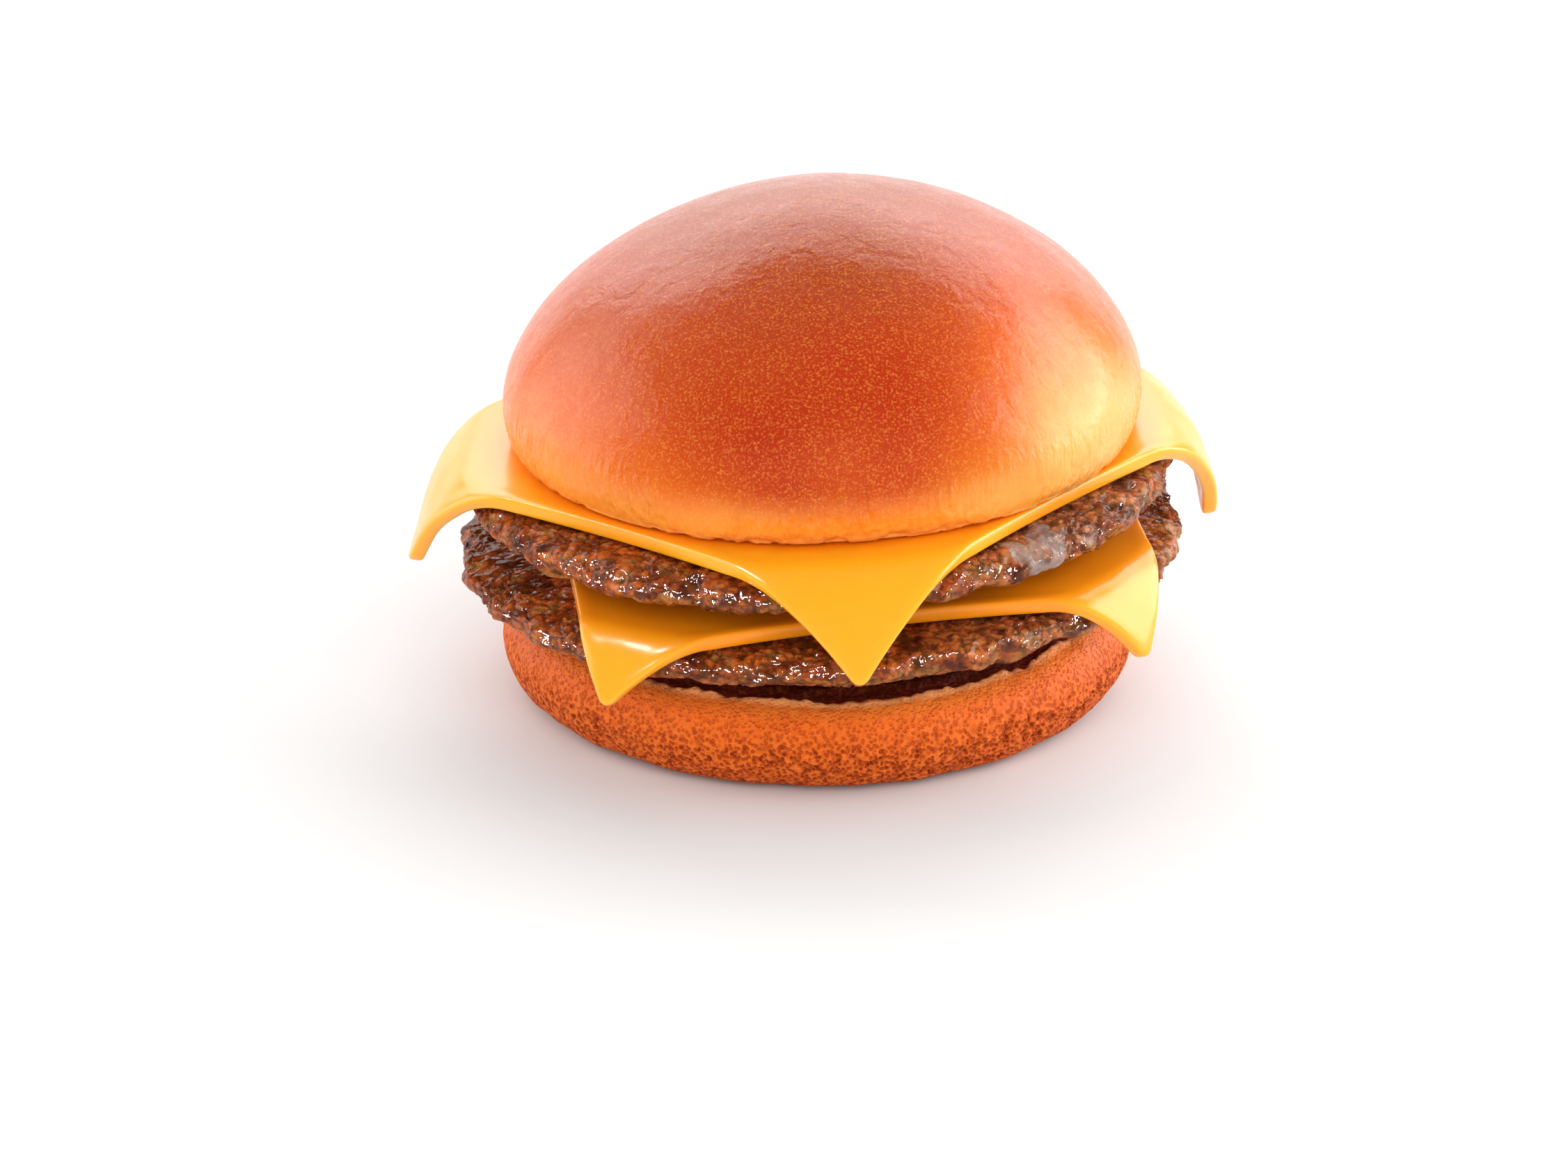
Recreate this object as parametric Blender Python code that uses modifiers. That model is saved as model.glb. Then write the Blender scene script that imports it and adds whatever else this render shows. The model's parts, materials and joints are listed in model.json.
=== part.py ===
"""A double cheeseburger: heel, two beef patties, two cheese slices and crown, in metres, +Z up.

The stack is laid out level round the Z axis, layer on layer, and each piece is leaned last.
The origin is the middle of the heel's flat base, and the eater's side is -Y.
"""

import math

import bpy
import numpy as np

MM = 0.001
FULL_TURN = 2 * math.pi

# Heights of the layers on the stack's axis, bottom to top
GAP = 0.3 * MM
HEEL_HEIGHT = 14.8 * MM
LOWER_PATTY_THICK = 11.3 * MM
UPPER_PATTY_THICK = 9.7 * MM
SLICE_THICK = 2.3 * MM
CROWN_HEIGHT = 39.0 * MM

LOWER_PATTY_BASE = HEEL_HEIGHT + GAP
LOWER_SLICE_BASE = LOWER_PATTY_BASE + LOWER_PATTY_THICK + GAP
UPPER_PATTY_BASE = LOWER_SLICE_BASE + SLICE_THICK + GAP
UPPER_SLICE_BASE = UPPER_PATTY_BASE + UPPER_PATTY_THICK + GAP
CROWN_BASE = UPPER_SLICE_BASE + SLICE_THICK + GAP

# Bun
CROWN_RADIUS = 49.9 * MM
CROWN_CUT_RADIUS = 47.0 * MM
CROWN_WIDEST = 6.9 * MM
CROWN_CENTRE = (0.8 * MM, 0.0)
CROWN_FULLNESS = 1.73
HEEL_RADIUS = 49.8 * MM
HEEL_BASE_RADIUS = 41.5 * MM
HEEL_WIDEST = 8.0 * MM
HEEL_RIM_RADIUS = 44.6 * MM
HEEL_RIM_HEIGHT = 12.8 * MM
HEEL_LIP_INNER_RADIUS = 43.6 * MM
HEEL_CUT_RADIUS = 42.6 * MM
HEEL_CUT_EDGE_HEIGHT = 12.6 * MM
HEEL_LEVEL_RADIUS = 36.0 * MM
BUN_SEGMENTS = 60
CROWN_UNEVEN = 0.008
HEEL_UNEVEN = 0.010

# Beef
LOWER_PATTY_RADIUS = 57.0 * MM
UPPER_PATTY_RADIUS = 56.2 * MM
LOWER_PATTY_LIFT = 5.6 * MM
UPPER_PATTY_LIFT = 3.4 * MM
PATTY_EDGE = 5.5 * MM
PATTY_RIM_INSET = 5.0 * MM
PATTY_FOOT_INSET = 18.0 * MM
PATTY_SEGMENTS = 84
PATTY_UNEVEN = 1.0 * MM
CRAG_DEPTH = 1.3 * MM
CRAG_SIZE = 5.5 * MM

# Cheese
SLICE_ROUND = 0.05
SLICE_CELLS = 28
SLICE_LETS_GO = 3.0 * MM

# The stack leans up to the right, from the heel's cut face upwards
LEAN = 0.035
LEAN_FROM = 10.0 * MM
LEAN_TO = 28.0 * MM


def smooth_step(t):
    """0 below 0, 1 above 1, and an S between."""
    t = np.clip(t, 0.0, 1.0)
    return t * t * (3 - 2 * t)


def leaned(points):
    """Lifts each point by its x times a slope that grows with height."""
    out = points.copy()
    slope = LEAN * smooth_step((points[:, 2] - LEAN_FROM) / (LEAN_TO - LEAN_FROM))
    out[:, 2] += slope * points[:, 0]
    return out


class Grain:
    """Seeded gradient noise: random slopes at the corners of a cubic lattice, blended between them."""

    def __init__(self, seed):
        draw = np.random.default_rng(seed)
        slopes = draw.normal(size=(256, 3))
        self.slopes = slopes / np.linalg.norm(slopes, axis=1)[:, None]
        self.order = draw.permutation(256)

    def __call__(self, points, size):
        scaled = points / size
        cell = np.floor(scaled).astype(np.int64)
        part = scaled - cell
        blend = part * part * part * (part * (part * 6 - 15) + 10)
        total = np.zeros(len(points))
        for corner in np.ndindex(2, 2, 2):
            at = cell + corner
            pick = self.order[(at[:, 0]) & 255]
            pick = self.order[(pick + at[:, 1]) & 255]
            pick = self.order[(pick + at[:, 2]) & 255]
            weight = np.prod(np.where(corner, blend, 1 - blend), axis=1)
            total += weight * np.einsum("ij,ij->i", self.slopes[pick], part - corner)
        return total * 1.6


def material(name, colour, roughness):
    made = bpy.data.materials.new(name)
    made.use_nodes = True
    shader = made.node_tree.nodes["Principled BSDF"]
    shader.inputs["Base Color"].default_value = (*colour, 1.0)
    shader.inputs["Roughness"].default_value = roughness
    shader.inputs["Metallic"].default_value = 0.0
    return made


def points_of(mesh):
    flat = np.empty(len(mesh.vertices) * 3)
    mesh.vertices.foreach_get("co", flat)
    return flat.reshape(-1, 3)


def set_points(mesh, points):
    mesh.vertices.foreach_set("co", points.astype(np.float32).ravel())
    mesh.update()


def turned(profile, segments):
    """A mesh turned round Z from (radius, height) points that run from the top's middle to the base's."""
    mesh = bpy.data.meshes.new("profile")
    mesh.from_pydata(
        [(r, 0.0, z) for r, z in profile],
        [(i, i + 1) for i in range(len(profile) - 1)],
        [],
    )
    guide = bpy.data.objects.new("profile", mesh)
    bpy.context.scene.collection.objects.link(guide)
    screw = guide.modifiers.new("Turn", "SCREW")
    screw.axis = "Z"
    screw.steps = segments
    screw.render_steps = segments
    screw.use_merge_vertices = True
    screw.merge_threshold = 0.00005
    graph = bpy.context.evaluated_depsgraph_get()
    made = bpy.data.meshes.new_from_object(guide.evaluated_get(graph))
    bpy.data.objects.remove(guide)
    bpy.data.meshes.remove(mesh)
    return made


def piece(name, mesh, finish, collection):
    """The mesh as a named object of the burger, with its own material."""
    obj = bpy.data.objects.new(name, mesh)
    collection.objects.link(obj)
    mesh.materials.clear()
    mesh.materials.append(finish)
    mesh.shade_smooth()
    return obj


def quarter(r_from, z_from, r_to, z_to, steps, power=2.0, leaves="flat"):
    """Points of a superelliptic quarter after its first, which leaves its start flat or upright."""
    found = []
    for i in range(1, steps + 1):
        angle = math.pi / 2 * i / steps
        along = math.sin(angle) ** (2 / power)
        across = 1 - math.cos(angle) ** (2 / power) if i < steps else 1.0
        if leaves == "flat":
            share = (along, across)
        else:
            share = (across, along)
        found.append((r_from + (r_to - r_from) * share[0], z_from + (z_to - z_from) * share[1]))
    return found


def flat_rings(radius, height, steps):
    """Points along a level face from its middle out to the radius, the last left out."""
    return [(radius * i / steps, height) for i in range(steps)]


def wobble(angle, size, seed, waves=(2, 3, 5)):
    """An uneven round outline: a few seeded waves round the turn, each smaller than the one before."""
    draw = np.random.default_rng(seed)
    total = np.zeros_like(angle)
    for n in waves:
        total += np.cos(n * angle + draw.uniform(0, FULL_TURN)) / n
    return size * total


def crown_mesh():
    """A dome over a short undercut skirt and a flat cut face."""
    top = CROWN_BASE + CROWN_HEIGHT
    widest = CROWN_BASE + CROWN_WIDEST
    profile = [(0.0, top)]
    profile += quarter(0.0, top, CROWN_RADIUS, widest, 11, CROWN_FULLNESS)
    profile += quarter(CROWN_RADIUS, widest, CROWN_CUT_RADIUS, CROWN_BASE, 4, leaves="upright")
    profile += flat_rings(CROWN_CUT_RADIUS, CROWN_BASE, 3)[::-1]
    mesh = turned(profile, BUN_SEGMENTS)
    points = points_of(mesh)
    angle = np.arctan2(points[:, 1], points[:, 0])
    points[:, :2] *= (1 + wobble(angle, CROWN_UNEVEN, 11))[:, None]
    points[:, 0] += CROWN_CENTRE[0]
    points[:, 1] += CROWN_CENTRE[1]
    set_points(mesh, leaned(points))
    return mesh


def heel_mesh():
    """The bun's foot: flat base, flank that flares to a round shoulder, a low lip and the cut face within it."""
    profile = flat_rings(HEEL_LEVEL_RADIUS, HEEL_HEIGHT, 3)
    profile += [(HEEL_LEVEL_RADIUS, HEEL_HEIGHT), (HEEL_CUT_RADIUS, HEEL_CUT_EDGE_HEIGHT)]
    profile += [(HEEL_LIP_INNER_RADIUS, HEEL_RIM_HEIGHT), (HEEL_RIM_RADIUS, HEEL_RIM_HEIGHT)]
    profile += quarter(HEEL_RIM_RADIUS, HEEL_RIM_HEIGHT, HEEL_RADIUS, HEEL_WIDEST, 4)
    profile += quarter(HEEL_RADIUS, HEEL_WIDEST, HEEL_BASE_RADIUS, 0.0, 6, leaves="upright")
    profile += flat_rings(HEEL_BASE_RADIUS, 0.0, 3)[::-1]
    mesh = turned(profile, BUN_SEGMENTS)
    points = points_of(mesh)
    angle = np.arctan2(points[:, 1], points[:, 0])
    points[:, :2] *= (1 + wobble(angle, HEEL_UNEVEN, 23))[:, None]
    set_points(mesh, leaned(points))
    return mesh


def patty_outline(angle, radius, seed):
    """The patty's radius in each direction."""
    return radius + wobble(angle, PATTY_UNEVEN, seed, (2, 3, 4, 7))


def patty_mesh(radius, base, thick, lift, seed):
    """A disc whose rim lifts off what it lies on, with round edges that crags cut into."""
    top = base + thick
    middle = base + lift + 0.45 * (thick - lift)
    rim_inner = radius - PATTY_RIM_INSET
    foot = radius - PATTY_FOOT_INSET
    profile = flat_rings(radius - PATTY_EDGE, top, 4) + [(radius - PATTY_EDGE, top)]
    profile += quarter(radius - PATTY_EDGE, top, radius, middle, 5, 2.3)
    profile += quarter(radius, middle, rim_inner, base + lift, 4, leaves="upright")
    profile += [((rim_inner + foot) / 2, base + 0.4 * lift), (foot, base)]
    profile += flat_rings(foot, base, 2)[::-1]
    mesh = turned(profile, PATTY_SEGMENTS)
    points = points_of(mesh)
    angle = np.arctan2(points[:, 1], points[:, 0])
    spread = np.hypot(points[:, 0], points[:, 1])
    points[:, :2] *= (patty_outline(angle, radius, seed) / radius)[:, None]
    grain = Grain(seed)
    coarse = grain(points, CRAG_SIZE)
    fine = grain(points + 1.0, CRAG_SIZE / 2)
    depth = CRAG_DEPTH * np.clip(0.5 - coarse - 0.4 * fine, 0.0, 1.0)
    rim = smooth_step((spread / radius - 0.8) / 0.12)
    inward = -points * [1, 1, 0] / np.maximum(spread, MM)[:, None]
    points += inward * (depth * rim)[:, None]
    height = (points[:, 2] - middle) / (0.3 * thick)
    points[:, 2] -= np.sign(height) * 0.25 * depth * rim * smooth_step(np.abs(height))
    set_points(mesh, leaned(points))
    return mesh


def drape(points, base, patty, corners):
    """Lays level points over a patty: flat to near its edge, then round an arc, then straight down at a slope.

    The distance from the axis is kept as distance along the sheet. Each corner has the radius of its bend
    and the slope that its flap ends at, and the values between corners are blended.
    """
    angle = np.arctan2(points[:, 1], points[:, 0])
    along = np.hypot(points[:, 0], points[:, 1])
    weights = np.array([
        np.clip(np.cos(angle - math.radians(c["at"])), 0.02, 1) ** 4 for c in corners
    ])
    weights /= weights.sum(axis=0)
    bend = sum(w * c["bend"] for w, c in zip(weights, corners))
    slope = sum(w * math.radians(c["slope"]) for w, c in zip(weights, corners))
    edge = patty_outline(angle, patty["radius"], patty["seed"]) - SLICE_LETS_GO
    past = np.maximum(along - edge, 0.0)
    turn = np.minimum(past / bend, slope)
    rest = np.maximum(past - slope * bend, 0.0)
    reach = np.minimum(along, edge) + bend * np.sin(turn) + rest * np.cos(slope)
    drop = bend * (1 - np.cos(turn)) + rest * np.sin(slope)
    return np.column_stack([reach * np.cos(angle), reach * np.sin(angle), base - drop])


def spread_sheet(square, corners, bows):
    """Stretches the square from -1 to 1 between four corners, each side drawn in by its bow at its middle."""
    share = (square + 1) / 2
    across, along = share[:, :1], share[:, 1:2]
    tips = [
        c["out"] * np.array([math.cos(math.radians(c["at"])), math.sin(math.radians(c["at"]))])
        for c in corners
    ]
    near = tips[0] * (1 - across) + tips[1] * across
    far = tips[3] * (1 - across) + tips[2] * across
    sheet = near * (1 - along) + far * along
    sides = [
        (tips[0], tips[1], across, 1 - along),
        (tips[1], tips[2], along, across),
        (tips[2], tips[3], 1 - across, along),
        (tips[3], tips[0], 1 - along, 1 - across),
    ]
    for bow, (start, end, t, weight) in zip(bows, sides):
        run = (end - start) / np.linalg.norm(end - start)
        inward = np.array([-run[1], run[0]])
        sheet += bow * 4 * t * (1 - t) * weight * inward
    return sheet


def slice_mesh(corners, bows, base, patty):
    """The middle sheet of a cheese slice with small round corners, laid over its patty."""
    bpy.ops.mesh.primitive_grid_add(x_subdivisions=SLICE_CELLS, y_subdivisions=SLICE_CELLS, size=2.0)
    guide = bpy.context.object
    mesh = guide.data
    bpy.data.objects.remove(guide)
    points = points_of(mesh)
    square = points[:, :2]
    over = np.maximum(np.abs(square) - 1 + SLICE_ROUND, 0.0)
    long = np.hypot(over[:, 0], over[:, 1])
    both = (over > 0).all(axis=1)
    shrink = np.where(both, np.max(over, axis=1) / np.maximum(long, 1e-9), 1.0)
    inner = np.minimum(np.abs(square), 1 - SLICE_ROUND)
    square = np.sign(square) * (inner + over * shrink[:, None])
    sheet = spread_sheet(square, corners, bows)
    set_points(mesh, leaned(drape(sheet, base + SLICE_THICK / 2, patty, corners)))
    return mesh


def add_slice(name, finish, collection, **facts):
    obj = piece(name, slice_mesh(**facts), finish, collection)
    solid = obj.modifiers.new("Thickness", "SOLIDIFY")
    solid.thickness = SLICE_THICK
    solid.offset = 0.0
    return obj


def main():
    for obj in list(bpy.data.objects):
        bpy.data.objects.remove(obj)
    burger = bpy.data.collections.new("double_cheeseburger")
    bpy.context.scene.collection.children.link(burger)
    crust = material("baked_crust", (0.68, 0.24, 0.06), 0.45)
    flank = material("porous_crust", (0.70, 0.26, 0.06), 0.75)
    beef = material("seared_beef", (0.13, 0.05, 0.025), 0.4)
    cheese = material("melting_cheese", (0.95, 0.48, 0.04), 0.35)

    piece("heel", heel_mesh(), flank, burger)
    lower = {"radius": LOWER_PATTY_RADIUS, "seed": 31}
    upper = {"radius": UPPER_PATTY_RADIUS, "seed": 47}
    piece(
        "lower_patty",
        patty_mesh(base=LOWER_PATTY_BASE, thick=LOWER_PATTY_THICK, lift=LOWER_PATTY_LIFT, **lower),
        beef,
        burger,
    )
    add_slice(
        "lower_slice",
        cheese,
        burger,
        corners=[
            {"at": -121.0, "out": 68.6 * MM, "bend": 6.0 * MM, "slope": 66.0},
            {"at": -36.5, "out": 68.4 * MM, "bend": 6.0 * MM, "slope": 70.0},
            {"at": 47.1, "out": 65.7 * MM, "bend": 7.0 * MM, "slope": 60.0},
            {"at": 146.2, "out": 56.7 * MM, "bend": 7.0 * MM, "slope": 60.0},
        ],
        bows=[5.0 * MM, 1.5 * MM, 1.5 * MM, 1.5 * MM],
        base=LOWER_SLICE_BASE,
        patty=lower,
    )
    piece(
        "upper_patty",
        patty_mesh(base=UPPER_PATTY_BASE, thick=UPPER_PATTY_THICK, lift=UPPER_PATTY_LIFT, **upper),
        beef,
        burger,
    )
    add_slice(
        "upper_slice",
        cheese,
        burger,
        corners=[
            {"at": -84.6, "out": 74.0 * MM, "bend": 8.0 * MM, "slope": 68.0},
            {"at": 6.8, "out": 76.0 * MM, "bend": 7.0 * MM, "slope": 80.0},
            {"at": 96.0, "out": 70.0 * MM, "bend": 8.0 * MM, "slope": 66.0},
            {"at": 185.3, "out": 75.0 * MM, "bend": 8.0 * MM, "slope": 76.0},
        ],
        bows=[4.6 * MM, 2.5 * MM, 2.5 * MM, 4.0 * MM],
        base=UPPER_SLICE_BASE,
        patty=upper,
    )
    piece("crown", crown_mesh(), crust, burger)


main()
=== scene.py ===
"""Dresses the double cheeseburger: glazed crust, seared beef and melting cheese in a plain pale studio."""

import json
import math

import bpy
import numpy as np
from bpy.props import FloatProperty, FloatVectorProperty, PointerProperty
from mathutils import Matrix, Vector

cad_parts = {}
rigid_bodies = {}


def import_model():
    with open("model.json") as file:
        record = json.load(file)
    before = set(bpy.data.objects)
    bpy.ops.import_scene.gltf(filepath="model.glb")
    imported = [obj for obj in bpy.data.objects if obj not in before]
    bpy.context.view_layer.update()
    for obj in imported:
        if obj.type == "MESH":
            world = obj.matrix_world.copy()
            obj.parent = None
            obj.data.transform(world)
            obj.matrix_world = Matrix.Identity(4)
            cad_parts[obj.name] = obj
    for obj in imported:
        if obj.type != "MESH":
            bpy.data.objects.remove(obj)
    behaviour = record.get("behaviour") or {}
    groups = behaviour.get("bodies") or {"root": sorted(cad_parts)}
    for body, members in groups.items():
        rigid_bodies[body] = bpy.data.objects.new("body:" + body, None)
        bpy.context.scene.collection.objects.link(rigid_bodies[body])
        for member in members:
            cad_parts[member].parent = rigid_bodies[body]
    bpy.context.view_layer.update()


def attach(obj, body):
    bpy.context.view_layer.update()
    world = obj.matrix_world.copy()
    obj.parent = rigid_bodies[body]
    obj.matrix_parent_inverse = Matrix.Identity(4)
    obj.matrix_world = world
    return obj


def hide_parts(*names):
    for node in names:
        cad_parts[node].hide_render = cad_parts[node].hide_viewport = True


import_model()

bl_info = {
    "name": "Double Cheeseburger",
    "version": (1, 0, 0),
    "blender": (4, 5, 0),
    "location": "3D View > Sidebar > Burger",
    "description": "Makes a double cheeseburger piece by piece, with its studio",
    "category": "Add Mesh",
}

MM = 0.001
FULL_TURN = 2 * math.pi
TABLE = 256  # entries in a noise's table
CROWN_COLUMNS, HEEL_COLUMNS, PATTY_COLUMNS, SLICE_CELLS = 640, 900, 780, 128
LOWER_SEED, UPPER_SEED = 31, 47  # of the patties' outlines, which the slices follow
LAMP_AIM = 0.04  # height over the floor that the lamps are turned to


def linear(hex_colour):
    """An sRGB hex colour as linear red, green and blue."""
    parts = np.array([int(hex_colour[i:i + 2], 16) for i in (1, 3, 5)]) / 255
    low = parts / 12.92
    high = ((parts + 0.055) / 1.055) ** 2.4
    return tuple(float(v) for v in np.where(parts <= 0.04045, low, high))


def length(title, words, millimetres):
    return FloatProperty(
        name=title, description=words, default=millimetres * MM, min=0.0, unit="LENGTH", precision=5
    )


def share(title, words, value):
    return FloatProperty(name=title, description=words, default=value, min=0.0, max=1.0, subtype="FACTOR")


def colour(title, words, hex_colour):
    return FloatVectorProperty(
        name=title, description=words, default=linear(hex_colour), min=0.0, max=1.0, size=3, subtype="COLOR"
    )


class StackSettings(bpy.types.PropertyGroup):
    """Heights of the layers, bottom to top, and the stack's lean."""

    gap: length("Gap", "Air between one layer and the next", 0.3)
    heel_height: length("Heel Height", "From the base to the middle of the heel's cut face", 14.8)
    lower_patty: length("Lower Patty", "Thickness of the lower patty at its middle", 11.3)
    upper_patty: length("Upper Patty", "Thickness of the upper patty at its middle", 9.7)
    slice_thick: length("Slice", "Thickness of a cheese slice", 2.3)
    crown_height: length("Crown Height", "From the crown's cut face to its top", 39.0)
    lean: share("Lean", "Rise of the layers to the right, over their width", 0.035)


class BunSettings(bpy.types.PropertyGroup):
    """Sizes and colours of the bun's crown and heel."""

    crown_radius: length("Crown Radius", "The crown at its widest", 49.9)
    crown_cut: length("Crown Cut Radius", "The crown's flat cut face", 47.0)
    crown_widest: length("Crown Widest", "Height of the widest place over the cut face", 6.9)
    crown_shift: length("Crown Shift", "How far right of the heel's middle the crown lies", 0.8)
    heel_radius: length("Heel Radius", "The heel at its widest", 49.8)
    heel_base: length("Heel Base Radius", "The flat that the burger rests on", 41.5)
    heel_widest: length("Heel Widest", "Height of the heel's widest place", 8.0)
    heel_rim: length("Heel Rim Radius", "Where the shoulder meets the lip of the cut", 44.6)
    heel_rim_height: length("Heel Rim Height", "Height of that lip", 14.1)
    deep_brown: colour("Deep Brown", "The crown's best baked crust", "#AE3E12")
    ruddy: colour("Ruddy", "Where the glaze caught the most heat", "#B22A00")
    golden: colour("Golden", "The crown's flanks", "#E66E12")
    pale: colour("Pale Rim", "Crust at the crown's rim, where the buns touched in the oven", "#F6B058")
    flank: colour("Heel Flank", "Crust that baked against the tray's wall", "#D45610")


class BeefSettings(bpy.types.PropertyGroup):
    """Sizes and colours of the two patties."""

    lower_radius: length("Lower Radius", "Radius of the lower patty", 57.0)
    upper_radius: length("Upper Radius", "Radius of the upper patty", 56.2)
    lower_lift: length("Lower Lift", "How far the lower patty's rim stands off the heel", 5.6)
    upper_lift: length("Upper Lift", "How far the upper patty's rim stands off the slice", 3.4)
    edge: length("Edge", "How far in from the rim the top starts to turn down", 5.5)
    crag_depth: length("Crag Depth", "Depth of the large crags in the rim", 1.3)
    crag_size: length("Crag Size", "Width of the large crags", 5.5)
    crumble: length("Crumble", "Width of one granule of the ground meat", 2.2)
    seared: colour("Seared", "Browned meat", "#DE8242")
    stewed: colour("Stewed", "Greyer meat lower on the rim", "#E09C76")


class CheeseSettings(bpy.types.PropertyGroup):
    """Shape and colours of the two slices."""

    lets_go: length("Lets Go", "How far inside the patty's rim a slice starts to bend down", 3.0)
    round_edge: length("Round Edge", "Radius of a slice's softened edge", 0.8)
    ripple: length("Ripple", "Height of the waves along a hanging edge", 0.45)
    body: colour("Cheese", "The cheese in bulk", "#FFAD12")
    # The paler colour of thin edges is a painted glow
    thin: colour("Cheese Edge", "The cheese where it is thin", "#FFAE20")


class StudioSettings(bpy.types.PropertyGroup):
    """The floor, the lights' strength and the camera."""

    elevation: FloatProperty(
        name="Elevation", description="Height of the camera over the level",
        default=math.radians(23), subtype="ANGLE",
    )
    distance: FloatProperty(
        name="Distance", description="From the camera to the burger's base", default=1.3816, unit="LENGTH"
    )
    strength: share("Strength", "Strength of all the lights together", 1.0)
    floor: colour("Floor", "The plain pale floor", "#E9E9EA")


# Shapes shared by several pieces


def smooth_step(t):
    """0 below 0, 1 above 1, and an S between."""
    t = np.clip(t, 0.0, 1.0)
    return t * t * (3 - 2 * t)


def picked(order, cell):
    """A seeded entry of the table for each cell of a lattice, the same one each time."""
    pick = order[cell[..., 0] & (TABLE - 1)]
    pick = order[(pick + cell[..., 1]) & (TABLE - 1)]
    return order[(pick + cell[..., 2]) & (TABLE - 1)]


class Grain:
    """Seeded gradient noise: random slopes at the corners of a cubic lattice, blended between them."""

    def __init__(self, seed):
        draw = np.random.default_rng(seed)
        slopes = draw.normal(size=(TABLE, 3))
        self.slopes = slopes / np.linalg.norm(slopes, axis=1)[:, None]
        self.order = draw.permutation(TABLE)

    def __call__(self, points, size):
        scaled = points / size
        cell = np.floor(scaled).astype(np.int64)
        part = scaled - cell
        blend = part * part * part * (part * (part * 6 - 15) + 10)
        total = np.zeros(points.shape[:-1])
        for corner in np.ndindex(2, 2, 2):
            pick = picked(self.order, cell + corner)
            weight = np.prod(np.where(corner, blend, 1 - blend), axis=-1)
            total += weight * np.einsum("...i,...i->...", self.slopes[pick], part - corner)
        return total * 1.6


class Granules:
    """Seeded cells: one random point in each cube of a lattice, and how near the two nearest ones are."""

    def __init__(self, seed):
        draw = np.random.default_rng(seed)
        self.offsets = draw.uniform(size=(TABLE, 3))
        self.lots = draw.uniform(size=TABLE)
        self.order = draw.permutation(TABLE)

    def __call__(self, points, size):
        """How far off the two nearest points are, in cells, and a lot drawn for the nearest."""
        scaled = points / size
        cell = np.floor(scaled).astype(np.int64)
        part = scaled - cell
        nearest = np.full(points.shape[:-1], 9.0)
        second = nearest.copy()
        lot = np.zeros(points.shape[:-1])
        for step in np.ndindex(3, 3, 3):
            move = np.array(step) - 1
            pick = picked(self.order, cell + move)
            away = np.linalg.norm(move + self.offsets[pick] - part, axis=-1)
            closer = away < nearest
            second = np.where(closer, nearest, np.minimum(second, away))
            lot = np.where(closer, self.lots[pick], lot)
            nearest = np.where(closer, away, nearest)
        return nearest, second, lot


def wobble(angle, size, seed, waves=(2, 3, 5)):
    """An uneven round outline: a few seeded waves round the turn, each smaller than the one before."""
    draw = np.random.default_rng(seed)
    total = np.zeros_like(angle)
    for n in waves:
        total += np.cos(n * angle + draw.uniform(0, FULL_TURN)) / n
    return size * total


def facing(angle, middle, width):
    """A bell that is 1 in one direction round the turn and fades over an angle to either side.

    Directions are in radians anticlockwise from the right, so the eater's side is at -1.57.
    """
    away = (angle - middle + math.pi) % FULL_TURN - math.pi
    return np.exp(-((away / width) ** 2))


def leaned(points, lean):
    """Lifts each point by its x times a slope that grows from nothing, over the heel, to the full lean."""
    out = points.copy()
    out[..., 2] += lean * smooth_step((points[..., 2] - 10 * MM) / (18 * MM)) * points[..., 0]
    return out


def quarter(start, end, power=2.0, leaves="flat", steps=160):
    """A superelliptic quarter from start to end as (radius, height) rows, leaving start flat or upright."""
    turn = np.linspace(0, math.pi / 2, steps)
    along = np.sin(turn) ** (2 / power)
    across = 1 - np.cos(turn) ** (2 / power)
    first, second = (along, across) if leaves == "flat" else (across, along)
    start = np.array(start)
    end = np.array(end)
    return start + (end - start) * np.column_stack([first, second])


def ruled(profile, spacings):
    """Sets a profile's rows anew: each stretch of it is (points, spacing), cut evenly along its length."""
    rows = []
    for points, spacing in zip(profile, spacings):
        points = np.asarray(points)
        steps = np.linalg.norm(np.diff(points, axis=0), axis=1)
        run = np.concatenate([[0.0], np.cumsum(steps)])
        count = max(int(round(run[-1] / spacing)), 1)
        at = np.linspace(0, run[-1], count + 1)
        fresh = np.column_stack([np.interp(at, run, points[:, 0]), np.interp(at, run, points[:, 1])])
        rows.append(fresh[1:] if rows else fresh)
    return np.concatenate(rows)


def revolved(profile, columns):
    """Turns (radius, height) rows round Z: point = (r cos a, r sin a, h), as an array rows x columns x 3."""
    angle = np.arange(columns) * FULL_TURN / columns
    radius = profile[:, :1]
    x = radius * np.cos(angle)
    y = radius * np.sin(angle)
    z = np.broadcast_to(profile[:, 1:], x.shape)
    return np.stack([x, y, z], axis=-1), np.broadcast_to(angle, x.shape)


def turned_normals(points):
    """Outward directions of a turned grid, from its differences down the rows and round the columns."""
    down = np.gradient(points, axis=0)
    round_ = np.roll(points, -1, axis=1) - np.roll(points, 1, axis=1)
    normal = np.cross(down, round_)
    size = np.linalg.norm(normal, axis=-1, keepdims=True)
    normal = normal / np.maximum(size, 1e-12)
    normal[0] = (0, 0, 1)
    normal[-1] = (0, 0, -1)
    return normal


def turned_faces(rows, columns):
    """Quads between the rows of a turned grid whose first and last rows are one point each."""
    index = np.empty((rows, columns), dtype=np.int64)
    index[0] = 0
    index[1:-1] = 1 + np.arange((rows - 2) * columns).reshape(rows - 2, columns)
    index[-1] = 1 + (rows - 2) * columns
    beside = np.roll(index, -1, axis=1)
    quads = np.stack([index[1:-2], index[2:-1], beside[2:-1], beside[1:-2]], axis=-1).reshape(-1, 4)
    top = np.stack([index[0], index[1], beside[1]], axis=-1)
    foot = np.stack([index[-2], index[-1], beside[-2]], axis=-1)
    return quads.tolist() + top.tolist() + foot.tolist()


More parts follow.
